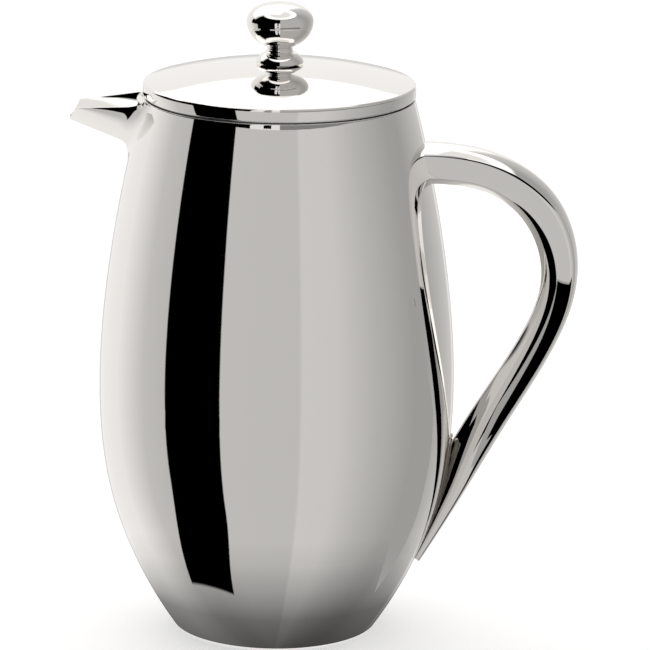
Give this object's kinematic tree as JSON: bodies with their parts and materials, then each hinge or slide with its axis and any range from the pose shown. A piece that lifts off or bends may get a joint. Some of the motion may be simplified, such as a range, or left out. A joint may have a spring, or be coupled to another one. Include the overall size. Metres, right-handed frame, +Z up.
{
  "type": "french press",
  "caption": "Double-wall steel french press: barrel-shaped jug with V spout and hollow loop handle, domed lift-off lid, and knob, rod and sprung mesh filter that slide and turn.",
  "frame": {"origin": "centre of the underside of the base, on the surface the press stands on", "axes": "+Z up along the jug and plunger axis, +X from the axis to the handle, -X to the spout, Y across the handle's width"},
  "size_m": [0.1713, 0.12, 0.215],
  "materials": {
    "polished_steel": "mirror-polished stainless steel",
    "satin_steel": "satin stainless steel",
    "spring_steel": "bright drawn spring wire",
    "steel_mesh": "fine woven stainless wire cloth",
    "seal_silicone": "matt dark silicone"
  },
  "bodies": {
    "vessel": {"outer_shell": "polished_steel", "base_plate": "polished_steel", "inner_vessel": "satin_steel", "spout": "polished_steel", "handle_left_half": "polished_steel", "handle_right_half": "polished_steel"},
    "lid_seal": {"lid_seal_ring": "seal_silicone"},
    "lid": {"lid_dome": "polished_steel", "lid_liner": "satin_steel", "strainer_collar": "satin_steel", "rod_guide": "polished_steel", "guide_nut": "satin_steel"},
    "filter_spring": {"rim_spring": "spring_steel"},
    "plunger": {"knob": "polished_steel", "plunger_rod": "polished_steel", "rod_collar": "satin_steel", "spring_carrier": "satin_steel", "filter_screen": "steel_mesh", "screen_rim": "satin_steel", "screen_eyelet": "satin_steel", "cross_plate": "satin_steel", "hub_nut": "satin_steel"}
  },
  "joints": [
    {"name": "lid_lift", "type": "slide", "parent": "vessel", "child": "lid_seal", "axis": [0, 0, 1], "range_m": [0, 0.2]},
    {"name": "lid_turn", "type": "hinge", "parent": "lid_seal", "child": "lid", "pos_m": [0, 0, 0.184], "axis": [0, 0, 1], "continuous": true},
    {"name": "plunger_slide", "type": "slide", "parent": "lid", "child": "filter_spring", "axis": [0, 0, 1], "range_m": [0, 0.128]},
    {"name": "plunger_turn", "type": "hinge", "parent": "filter_spring", "child": "plunger", "pos_m": [0, 0, 0.03], "axis": [0, 0, 1], "continuous": true}
  ]
}
